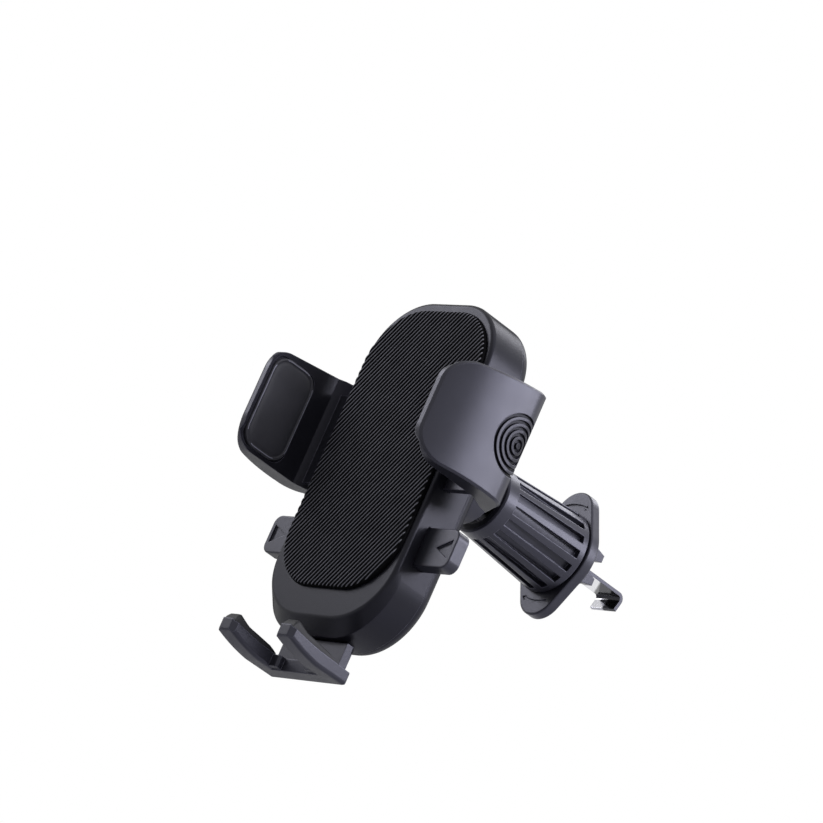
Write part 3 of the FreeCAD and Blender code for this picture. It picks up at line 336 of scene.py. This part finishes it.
# Materials
def grip_shade_share(tree):
    """Painted shade: 0 on the smooth shell, most in the grooves of the thumb grip, less on its ridges,
    and more towards its middle.
    """
    place = parts_of(tree, place_of(tree))
    out = calculate(tree, "SUBTRACT", calculate(tree, "ABSOLUTE", place["X"]), ring_place[0])
    back = calculate(tree, "SUBTRACT", place["Y"], ring_place[1])
    up = calculate(tree, "SUBTRACT", place["Z"], ring_place[2])
    turned = calculate(
        tree, "SUBTRACT",
        calculate(tree, "MULTIPLY", back, math.cos(ring_turn)),
        calculate(tree, "MULTIPLY", out, math.sin(ring_turn)),
    )
    radius = calculate(
        tree, "SQRT",
        calculate(tree, "ADD", calculate(tree, "POWER", turned, 2.0), calculate(tree, "POWER", up, 2.0)),
    )
    inside = calculate(tree, "LESS_THAN", radius, ring_reach)
    outer_side = calculate(tree, "GREATER_THAN", out, 0.0)
    step = calculate(tree, "FRACT", calculate(tree, "DIVIDE", radius, ring_pitch))
    groove = remap(tree, step, low=0.0, high=ring_shade_groove, start=groove_start, end=groove_end)
    middle_shade = remap(tree, radius, low=ring_shade, high=ring_shade_outside, start=0.0, end=ring_reach)
    dark = calculate(tree, "MAXIMUM", groove, middle_shade)
    return calculate(tree, "MULTIPLY", dark, calculate(tree, "MULTIPLY", inside, outer_side))


def moulded_plastic(name, colour, roughness, shine, ring_shaded=False, grazing=grazing_gloss):
    """Satin moulded plastic: spark-eroded grain, faint flow clouds, edges painted lighter as rubbing and
    a painted highlight, and, where asked, painted shade in the thumb grip.
    """
    material, tree, shader = new_material(name)
    normal = grain(tree, shader, noise(tree, scale=7000.0), depth=0.014 * mm, edge_radius=0.35 * mm)
    body = clouds(tree, noise(tree, scale=60.0), shade(colour, 0.95), shade(colour, 1.06))
    rubbed_highlight = ramp_of(
        tree, noise(tree, scale=500.0, detail=3.0),
        ((0.35, shade(colour, rubbed_highlight_low)), (0.65, shade(colour, rubbed_highlight_high))),
    )
    # Edges painted lighter: partly rubbing, partly a painted edge highlight
    rubbed_highlight_share = calculate(tree, "MULTIPLY", edge_rub_and_highlight(tree, normal), rubbed_highlight_strength)
    finish = mix_colours(tree, rubbed_highlight_share, body, rubbed_highlight)
    weight = add_node(tree, "ShaderNodeLayerWeight")
    gloss = remap(
        tree, weight.outputs["Facing"], low=shine, high=shine * grazing, start=0.45, end=0.82
    )
    # Painted shade on the thumb grip: its grooves and middle turn towards black, with less gloss there
    if ring_shaded:
        rings = grip_shade_share(tree)
        finish = mix_colours(tree, rings, finish, groove_shade_colour)
        gloss = calculate(tree, "MULTIPLY", gloss, remap(tree, rings, low=1.0, high=ring_gloss))
    tree.links.new(gloss, shader.inputs["Specular IOR Level"])
    tree.links.new(finish, shader.inputs["Base Color"])
    roughen(tree, shader, noise(tree, scale=220.0, detail=4.0), roughness - 0.05, roughness + 0.07)
    shader.inputs["Specular Tint"].default_value = plastic_sheen + (1.0,)
    return material


def soft_rubber(name, colour, roughness):
    """Matt silicone with a fine dusty grain."""
    material, tree, shader = new_material(name)
    tint(tree, shader, colour, noise(tree, scale=90.0), spread=0.15)
    roughen(tree, shader, noise(tree, scale=700.0, detail=3.0), roughness - 0.05, roughness + 0.08)
    shader.inputs["Specular IOR Level"].default_value = 0.3
    grain(tree, shader, noise(tree, scale=5000.0, detail=3.0), depth=0.02 * mm, edge_radius=0.2 * mm)
    return material


def ribbed_rubber():
    """Rubber with a painted grey highlight along its ridges' crests and painted black shade in the
    valleys.
    """
    material, tree, shader = new_material("ribbed_rubber")
    place = parts_of(tree, place_of(tree))
    across = calculate(
        tree, "SUBTRACT",
        calculate(tree, "MULTIPLY", place["X"], math.sin(ridge_angle)),
        calculate(tree, "MULTIPLY", place["Z"], math.cos(ridge_angle)),
    )
    wave = calculate(tree, "SINE", calculate(tree, "MULTIPLY", across, 2 * math.pi / ridge_pitch))
    on_face = remap(
        tree, place["Y"], low=1.0, high=0.0, start=pad_face - 0.1 * mm, end=pad_face + 0.35 * mm
    )
    crest = calculate(
        tree, "MULTIPLY", remap(tree, wave, low=0.0, high=1.0, start=-1.0, end=1.0), on_face
    )
    dust = remap(tree, noise(tree, scale=160.0, detail=4.0), low=0.86, high=1.04)
    crest_light_and_dust = calculate(tree, "MULTIPLY", crest, dust)
    # Crests painted grey as a highlight and valleys painted black as shade; dust varies the crests
    colour = ramp_of(tree, crest_light_and_dust, ((0.66, groove_shade_colour), (0.96, crest_highlight_colour)))
    tree.links.new(colour, shader.inputs["Base Color"])
    roughen(tree, shader, noise(tree, scale=700.0, detail=3.0), low=0.55, high=0.7)
    shader.inputs["Specular IOR Level"].default_value = 0.03
    grain(tree, shader, noise(tree, scale=6000.0), depth=0.01 * mm, edge_radius=0.1 * mm)
    return material


def bright_metal(name, colour, roughness, streaks):
    """Bare steel with fine drawing lines."""
    material, tree, shader = new_material(name)
    tint(tree, shader, colour, noise(tree, scale=120.0), spread=0.05)
    shader.inputs["Metallic"].default_value = 1.0
    roughen(tree, shader, noise(tree, scale=900.0), roughness, roughness + streaks)
    grain(tree, shader, noise(tree, scale=3000.0, detail=1.0), depth=0.003 * mm, edge_radius=0.15 * mm)
    return material


def plated_steel():
    """Bright plating with a painted dark reflection towards the bend, and dull sheared edges."""
    material, tree, shader = new_material("plated_steel")
    place = parts_of(tree, place_of(tree))
    slanted = calculate(tree, "MULTIPLY_ADD", place["X"], dark_reflection_slant, place["Y"])
    drift = remap(tree, noise(tree, scale=400.0), low=-dark_reflection_drift, high=dark_reflection_drift)
    station = calculate(tree, "ADD", slanted, drift)
    on_strip = remap(
        tree, station, low=0.0, high=1.0, start=dark_reflection_start, end=dark_reflection_start + dark_reflection_width
    )
    on_leg = remap(
        tree, place["X"], low=dark_reflection_leg_share, high=1.0, start=dark_reflection_leg_start, end=dark_reflection_leg_end
    )
    below = calculate(tree, "LESS_THAN", place["Z"], dark_reflection_leg_level)
    dark = add_node(tree, "ShaderNodeMix", data_type="FLOAT")
    tree.links.new(below, dark.inputs["Factor"])
    tree.links.new(on_strip, dark.inputs["A"])
    tree.links.new(on_leg, dark.inputs["B"])
    # Painted dark reflection across the strip towards the bend and over the bent leg
    dark_reflection_colour = ramp_of(tree, dark.outputs["Result"], ((0.1, chrome_colour), (0.9, chrome_reflection_dark)))
    normal = parts_of(tree, add_node(tree, "ShaderNodeTexCoord").outputs["Normal"])
    sheared = remap(
        tree, calculate(tree, "ABSOLUTE", normal["X"]), low=0.0, high=1.0, start=0.7, end=0.8
    )
    tree.links.new(mix_colours(tree, sheared, dark_reflection_colour, chrome_edge), shader.inputs["Base Color"])
    shader.inputs["Metallic"].default_value = 1.0
    polish = remap(tree, noise(tree, scale=900.0), low=0.08, high=0.14)
    rough = calculate(tree, "MULTIPLY_ADD", sheared, edge_roughness, polish)
    tree.links.new(rough, shader.inputs["Roughness"])
    grain(tree, shader, noise(tree, scale=2500.0, detail=1.0), depth=0.002 * mm, edge_radius=0.15 * mm)
    return material


shell = moulded_plastic("shell_plastic", shell_colour, roughness=0.33, shine=0.36)
arm_shell = moulded_plastic("arm_plastic", shell_colour, roughness=0.33, shine=0.36, ring_shaded=True)
knob_shell = moulded_plastic(
    "knob_plastic", shell_colour, roughness=0.33, shine=0.36, grazing=outline_gloss
)
# The cradle's covers get a darker, less glossy copy of the shell plastic: painted shade
cradle_shade_shell = moulded_plastic("cradle_painted_shade", cradle_shade_colour, roughness=0.33, shine=0.18)
inner = moulded_plastic("inner_plastic", inner_colour, roughness=0.5, shine=0.35)
rubber = soft_rubber("grip_rubber", rubber_colour, roughness=0.6)
arm_rubber = soft_rubber("arm_pad_rubber", arm_pad_colour, roughness=0.52)
# Lighter rubber for the pads' rims: a painted highlight
rim_highlight_rubber = soft_rubber("arm_rim_painted_highlight", arm_rim_highlight, roughness=0.45)
ribs = ribbed_rubber()
chrome = plated_steel()
steel = bright_metal("spring_steel", steel_colour, roughness=0.28, streaks=0.1)

by_slot = {
    "dark_plastic": shell,
    "black_rubber": rubber,
    "bright_steel": chrome,
    "inner_plastic": inner,
    "spring_steel": steel,
}
by_node = {
    "right_arm": arm_shell,
    "left_arm": arm_shell,
    "front_cover": cradle_shade_shell,
    "rear_cover": cradle_shade_shell,
    "knob": knob_shell,
    "base_plate": knob_shell,
}
for part in frame["record"]["subparts"]:
    finish_of_part = by_node.get(part["node"], by_slot[part["material_slot"]])
    for material_slot in nodes[part["node"]].material_slots:
        material_slot.material = finish_of_part


# Mesh helpers
def make_piece(name, points, faces, material, smooth_angle=40.0):
    """Object from points and faces, its normals outwards, smooth below the angle."""
    mesh = bpy.data.meshes.new(name)
    mesh.from_pydata(points, [], faces)
    mesh.validate()
    mesh.materials.append(material)
    piece = bpy.data.objects.new(name, mesh)
    bpy.context.scene.collection.objects.link(piece)
    bpy.context.view_layer.objects.active = piece
    for other in bpy.context.selected_objects:
        other.select_set(False)
    piece.select_set(True)
    bpy.ops.object.mode_set(mode="EDIT")
    bpy.ops.mesh.select_all(action="SELECT")
    bpy.ops.mesh.normals_make_consistent(inside=False)
    bpy.ops.object.mode_set(mode="OBJECT")
    bpy.ops.object.shade_smooth_by_angle(angle=math.radians(smooth_angle))
    return piece


def stands_for(piece, node, body):
    """The piece takes the place of a soft node on that body."""
    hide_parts(node)
    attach(piece, body)


def loop_faces(rings):
    """Quads between rings of equal length, and a cap at each end."""
    faces = []
    count = len(rings[0])
    for ring, following in zip(rings, rings[1:]):
        for i in range(count):
            j = (i + 1) % count
            faces.append((ring[i], ring[j], following[j], following[i]))
    faces.append(tuple(reversed(rings[0])))
    faces.append(tuple(rings[-1]))
    return faces


def rounded_ring(low, high, corner, inset):
    """Points (a, b) round a rectangle with rounded corners, moved inwards by the inset."""
    radius = max(corner - inset, smallest_corner)
    points = []
    middles = (
        (high[0] - inset - radius, high[1] - inset - radius, 0),
        (low[0] + inset + radius, high[1] - inset - radius, 90),
        (low[0] + inset + radius, low[1] + inset + radius, 180),
        (high[0] - inset - radius, low[1] + inset + radius, 270),
    )
    for a, b, start in middles:
        for step in range(corner_steps + 1):
            angle = math.radians(start + 90 * step / corner_steps)
            points.append((a + radius * math.cos(angle), b + radius * math.sin(angle)))
    return points


# The ribbed pad on the cradle's face. Its mesh runs in lines along the ridges.
pad_middle = Vector((0.0, (pad_low + pad_high) / 2))
across_ridges = Vector((math.sin(ridge_angle), -math.cos(ridge_angle)))
along_ridges = Vector((math.cos(ridge_angle), math.sin(ridge_angle)))


def edge_distance(x, z):
    """How far a point of the pad's face lies inside its outline."""
    half_z = (pad_high - pad_low) / 2
    dx = abs(x) - (pad_half_width - pad_corner)
    dz = abs(z - pad_middle.y) - (half_z - pad_corner)
    outside = math.hypot(max(dx, 0.0), max(dz, 0.0))
    return pad_corner - outside - min(max(dx, dz), 0.0)


def chord(s):
    """Where the line at s across the ridges enters and leaves the pad's outline, or None."""
    start = pad_middle + across_ridges * (s - across_ridges.dot(pad_middle))
    stations = [start + along_ridges * step * mm for step in range(-chord_search, chord_search + 1)]
    deepest = max(stations, key=lambda point: edge_distance(point.x, point.y))
    if edge_distance(deepest.x, deepest.y) <= 0:
        return None

    def end(sign):
        low = 0.0
        high = 2 * chord_search * mm
        for _ in range(chord_halvings):
            reach = (low + high) / 2
            point = deepest + along_ridges * sign * reach
            if edge_distance(point.x, point.y) > 0:
                low = reach
            else:
                high = reach
        return deepest + along_ridges * sign * low

    return end(-1), end(1)


def chord_shares(length):
    """Shares of a chord at which the line has points, close together near its ends."""
    shrink = min(length / shortest_chord / 2, 1.0) * mm / length
    shares = [offset * shrink for offset in end_stations]
    shares += middle_stations
    shares += [1 - offset * shrink for offset in reversed(end_stations)]
    return shares


def face_point(point, s):
    """Point on the pad's face: ridged, and rounded off towards the outline."""
    depth = max(edge_distance(point.x, point.y), 0.0)
    edge = min(depth / pad_edge, 1.0)
    round_off = math.sqrt(max(1 - (1 - edge) ** 2, 0.0))
    crest = (0.5 + 0.5 * math.sin(2 * math.pi * s / ridge_pitch)) ** ridge_sharpness
    y = pad_face + pad_edge * (1 - round_off) - ridge_height * crest * round_off
    return point.x, y, point.y


def ridge_lines():
    middle_s = across_ridges.dot(pad_middle)
    step = ridge_pitch / ridge_samples
    count = int(ridge_reach / step)
    lines = []
    for index in range(-count, count + 1):
        s = middle_s + index * step
        ends = chord(s)
        if ends is None:
            continue
        length = (ends[1] - ends[0]).length
        if length < shortest_chord:
            continue
        lines.append([face_point(ends[0].lerp(ends[1], share), s) for share in chord_shares(length)])
    return lines


def ribbed_pad():
    lines = ridge_lines()
    width = len(lines[0])
    points = [point for line in lines for point in line]
    faces = []
    for row in range(len(lines) - 1):
        for column in range(width - 1):
            a = row * width + column
            faces.append((a, a + 1, a + width + 1, a + width))
    last = (len(lines) - 1) * width
    rim = list(range(width))
    rim += [row * width + width - 1 for row in range(1, len(lines))]
    rim += [last + column for column in range(width - 2, -1, -1)]
    rim += [row * width for row in range(len(lines) - 2, 0, -1)]
    below = len(points)
    points += [(points[i][0], pad_back, points[i][2]) for i in rim]
    for i in range(len(rim)):
        j = (i + 1) % len(rim)
        faces.append((rim[i], rim[j], below + j, below + i))
    faces.append(tuple(range(below, below + len(rim))))
    return make_piece("ribbed_pad", points, faces, ribs, smooth_angle=60.0)


stands_for(ribbed_pad(), "front_pad", "cradle")


# The pads inside the arms, with a raised rim line and a slight crown
def arm_cushion(name, side):
    low = (arm_pad_front, -arm_pad_half_height)
    high = (arm_pad_rear, arm_pad_half_height)
    points = []
    rings = []
    for inset, sink in cushion_section:
        first = len(points)
        x = arm_pad_face + sink * mm
        ring = rounded_ring(low, high, arm_pad_corner, inset * mm)
        points += [(side * x, y, z) for y, z in ring]
        rings.append(list(range(first, len(points))))
    piece = make_piece(name, points, loop_faces(rings), arm_rubber, smooth_angle=50.0)
    piece.data.materials.append(rim_highlight_rubber)
    # Faces on the pad's rim take the lighter second material, a painted highlight
    for face in piece.data.polygons:
        middle = face.center
        inset = min(
            middle.y - arm_pad_front, arm_pad_rear - middle.y, arm_pad_half_height - abs(middle.z)
        )
        if abs(middle.x) < arm_pad_face + arm_rim_sink and inset < arm_rim_width:
            face.material_index = 1
    return piece


stands_for(arm_cushion("right_arm_cushion", 1), "right_arm_pad", "right_side")
stands_for(arm_cushion("left_arm_cushion", -1), "left_arm_pad", "left_side")


# The strips on the prongs: rounded bars that follow the prongs' tops
def prong_strip(name, side):
    middle = (strip_inner + strip_outer) / 2
    half = (strip_outer - strip_inner) / 2
    points = []
    rings = []
    for y, low, high in strip_stations:
        tall = high - low
        ring = [
            (side * (middle + across * half) * mm, y * mm, (low + tall * up) * mm)
            for across, up in strip_section
        ]
        rings.append(list(range(len(points), len(points) + len(ring))))
        points += ring
    return make_piece(name, points, loop_faces(rings), rubber, smooth_angle=45.0)


stands_for(prong_strip("right_prong_strip", 1), "foot_pad_right", "foot_slide")
stands_for(prong_strip("left_prong_strip", -1), "foot_pad_left", "foot_slide")


# The coil spring: a round wire along a helix
def lock_coil():
    points = []
    rings = []
    steps = coil_turns * coil_steps
    for step in range(steps + 1):
        angle = 2 * math.pi * coil_turns * step / steps
        out = Vector((math.cos(angle), math.sin(angle), 0.0))
        level = coil_low + (coil_high - coil_low) * step / steps
        middle = Vector((0.0, coil_middle_y, level)) + out * coil_radius
        rings.append(list(range(len(points), len(points) + coil_sides)))
        for side in range(coil_sides):
            turn = 2 * math.pi * side / coil_sides
            offset = out * math.cos(turn) + Vector((0.0, 0.0, math.sin(turn)))
            points.append(tuple(middle + offset * coil_wire))
    return make_piece("lock_coil", points, loop_faces(rings), steel)


coil = lock_coil()
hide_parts("lock_spring")
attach(coil, "cradle")
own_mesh(coil)


# Camera
def make_camera():
    data = bpy.data.cameras.new("camera")
    data.lens = camera_lens
    data.sensor_width = camera_sensor
    data.clip_start = camera_near
    data.clip_end = camera_far
    camera = bpy.data.objects.new("camera", data)
    bpy.context.scene.collection.objects.link(camera)
    right = camera_right.normalized()
    back = (camera_back - right * camera_back.dot(right)).normalized()
    up = back.cross(right)
    turn = Matrix((right, up, back)).transposed()
    camera.matrix_world = Matrix.Translation(camera_place) @ turn.to_4x4()
    bpy.context.scene.camera = camera


# Stage: a round floor that is clear seen from underneath, and a pale world
def seen_rays(tree):
    """1 for the rays that show the background: camera, glossy and transmission."""
    light_path = add_node(tree, "ShaderNodeLightPath")
    seen = calculate(
        tree, "MAXIMUM", light_path.outputs["Is Camera Ray"], light_path.outputs["Is Transmission Ray"]
    )
    return calculate(tree, "MAXIMUM", seen, light_path.outputs["Is Glossy Ray"])


def mix_shaders(tree, share, first, second):
    mix = add_node(tree, "ShaderNodeMixShader")
    tree.links.new(share, mix.inputs["Fac"])
    tree.links.new(first, mix.inputs[1])
    tree.links.new(second, mix.inputs[2])
    return mix.outputs["Shader"]


def floor_material():
    """Pale paint for the rays that show it, a dim bounce for the rest, fading to clear outwards."""
    material, tree, shader = new_material("floor_paint")
    speckle = clouds(tree, noise(tree, scale=40.0), shade(floor_colour, 0.99), floor_colour)
    tree.links.new(speckle, shader.inputs["Base Color"])
    shader.inputs["Roughness"].default_value = floor_roughness
    bounce = add_node(tree, "ShaderNodeBsdfDiffuse")
    bounce.inputs["Color"].default_value = floor_bounce + (1.0,)
    pale = mix_shaders(tree, seen_rays(tree), bounce.outputs["BSDF"], shader.outputs["BSDF"])
    light_path = add_node(tree, "ShaderNodeLightPath")
    geometry = add_node(tree, "ShaderNodeNewGeometry")
    from_below = calculate(
        tree, "MULTIPLY", light_path.outputs["Is Camera Ray"], geometry.outputs["Backfacing"]
    )
    away = add_node(tree, "ShaderNodeVectorMath", operation="LENGTH")
    tree.links.new(place_of(tree), away.inputs[0])
    faded = remap(tree, away.outputs["Value"], low=0.0, high=1.0, start=fade_start, end=fade_end)
    clear = add_node(tree, "ShaderNodeBsdfTransparent")
    share = calculate(tree, "MAXIMUM", from_below, faded)
    surface = mix_shaders(tree, share, pale, clear.outputs["BSDF"])
    tree.links.new(surface, tree.nodes["Material Output"].inputs["Surface"])
    return material


def make_floor():
    level = cad_box[0][2] - floor_drop
    bpy.ops.mesh.primitive_circle_add(
        vertices=floor_corners, radius=floor_radius, fill_type="NGON", location=(0, 0, level)
    )
    floor = bpy.context.object
    floor.name = "floor"
    floor.data.materials.append(floor_material())


def make_world():
    """Dim light on the part, and white for the rays that show the background."""
    world = bpy.data.worlds.new("studio")
    bpy.context.scene.world = world
    world.use_nodes = True
    tree = world.node_tree
    tree.nodes.clear()
    soft = add_node(tree, "ShaderNodeBackground")
    soft.inputs["Color"].default_value = world_light + (1.0,)
    soft.inputs["Strength"].default_value = world_strength
    paper = add_node(tree, "ShaderNodeBackground")
    paper.inputs["Color"].default_value = white + (1.0,)
    output = add_node(tree, "ShaderNodeOutputWorld")
    surface = mix_shaders(
        tree, seen_rays(tree), soft.outputs["Background"], paper.outputs["Background"]
    )
    tree.links.new(surface, output.inputs["Surface"])


def soft_box(name, direction, distance, radiance, width, height):
    """Oval lamp in that direction from the middle of the part. The power follows from the radiance."""
    middle = (cad_box[0] + cad_box[1]) / 2
    towards = Vector(direction).normalized()
    data = bpy.data.lights.new(name, "AREA")
    data.shape = "ELLIPSE"
    data.size = width
    data.size_y = height
    data.energy = radiance * math.pi ** 2 * width * height / 4
    data.color = lamp_colour
    lamp = bpy.data.objects.new(name, data)
    bpy.context.scene.collection.objects.link(lamp)
    lamp.visible_camera = False
    lamp.location = middle + towards * distance
    lamp.rotation_euler = (-towards).to_track_quat("-Z", "Y").to_euler()


make_camera()
make_floor()
make_world()
soft_box("side", (0.89, 0.36, 0.45), distance=0.55, radiance=12.0, width=0.53, height=0.26)
soft_box("front_left", (-0.72, -0.60, 0.48), distance=0.55, radiance=6.2, width=0.26, height=0.26)
soft_box("top_back", (-0.25, 0.60, 0.78), distance=1.2, radiance=3.8, width=0.5, height=0.5)
soft_box("top", (0.35, -0.25, 0.95), distance=1.3, radiance=1.0, width=0.8, height=0.8)

bpy.context.scene.view_settings.view_transform = "Standard"
